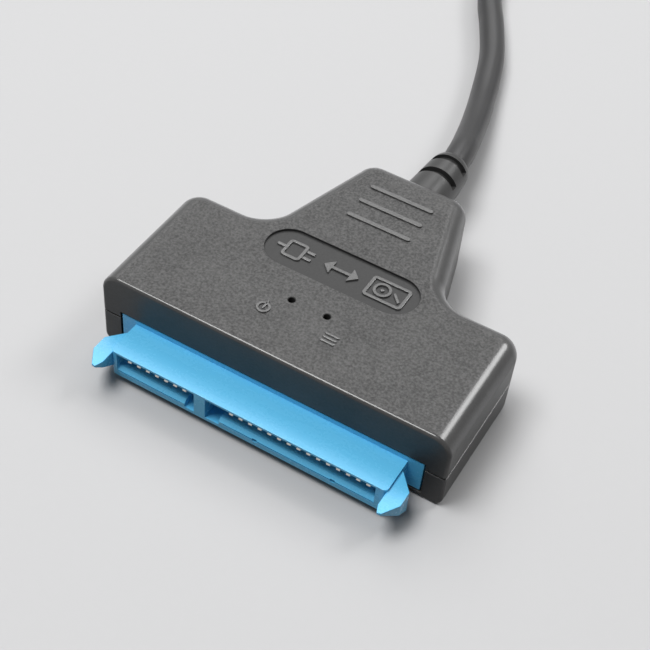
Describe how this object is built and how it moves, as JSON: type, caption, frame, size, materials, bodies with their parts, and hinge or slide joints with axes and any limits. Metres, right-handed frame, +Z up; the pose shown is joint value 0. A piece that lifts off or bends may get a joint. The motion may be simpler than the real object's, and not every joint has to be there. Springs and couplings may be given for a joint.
{
  "type": "usb to sata adapter",
  "caption": "USB to SATA adapter: flat tapered casing with a drive data and power receptacle at the front and a short flexible lead to a USB plug.",
  "frame": {"origin": "middle of the casing's flat underside, half way between its front and back faces", "axes": "+Z up out of the casing's top face, -Y out of the drive receptacle's mouth, +X along the receptacle from its data side to its power side"},
  "size_m": [0.0461, 0.1898, 0.0112],
  "materials": {
    "casing_plastic": "fine spark-eroded texture, matte",
    "blue_plastic": "semi-gloss moulded",
    "contact_metal": "gold plated",
    "soft_black": "smooth, slightly glossy flexible PVC",
    "board_laminate": "green solder mask",
    "chip_epoxy": "moulded epoxy",
    "tinned_metal": "tinned can",
    "capacitor_body": "moulded resin",
    "ferrite": "sintered ferrite",
    "lamp_lens": "clear resin",
    "plug_steel": "nickel plated",
    "wire_red": "smooth insulation",
    "wire_white": "smooth insulation",
    "wire_green": "smooth insulation",
    "wire_black": "smooth insulation",
    "wire_blue": "smooth insulation",
    "wire_yellow": "smooth insulation"
  },
  "bodies": {
    "root": {"access_lamp": "lamp_lens", "bottom_shell": "casing_plastic", "bridge_chip": "chip_epoxy", "circuit_board": "board_laminate", "crystal": "tinned_metal", "input_capacitor": "capacitor_body", "lead_wire_1": "wire_red", "lead_wire_2": "wire_white", "lead_wire_3": "wire_green", "lead_wire_4": "wire_black", "lead_wire_5": "wire_blue", "lead_wire_6": "wire_yellow", "lead_wire_7": "wire_red", "lead_wire_8": "wire_white", "lead_wire_9": "wire_green", "memory_chip": "chip_epoxy", "plug_overmould": "soft_black", "plug_shell": "plug_steel", "plug_tongue": "blue_plastic", "power_coil": "ferrite", "power_contact_1": "contact_metal", "power_contact_10": "contact_metal", "power_contact_11": "contact_metal", "power_contact_12": "contact_metal", "power_contact_13": "contact_metal", "power_contact_14": "contact_metal", "power_contact_15": "contact_metal", "power_contact_2": "contact_metal", "power_contact_3": "contact_metal", "power_contact_4": "contact_metal", "power_contact_5": "contact_metal", "power_contact_6": "contact_metal", "power_contact_7": "contact_metal", "power_contact_8": "contact_metal", "power_contact_9": "contact_metal", "power_lamp": "lamp_lens", "regulator": "chip_epoxy", "sata_housing": "blue_plastic", "signal_contact_1": "contact_metal", "signal_contact_2": "contact_metal", "signal_contact_3": "contact_metal", "signal_contact_4": "contact_metal", "signal_contact_5": "contact_metal", "signal_contact_6": "contact_metal", "signal_contact_7": "contact_metal", "strain_relief": "soft_black", "tail_capacitor": "capacitor_body", "top_shell": "casing_plastic", "usb_cable": "soft_black", "usb_contact_1": "contact_metal", "usb_contact_2": "contact_metal", "usb_contact_3": "contact_metal", "usb_contact_4": "contact_metal", "usb_fast_contact_1": "contact_metal", "usb_fast_contact_2": "contact_metal", "usb_fast_contact_3": "contact_metal", "usb_fast_contact_4": "contact_metal", "usb_fast_contact_5": "contact_metal"}
  },
  "joints": []
}
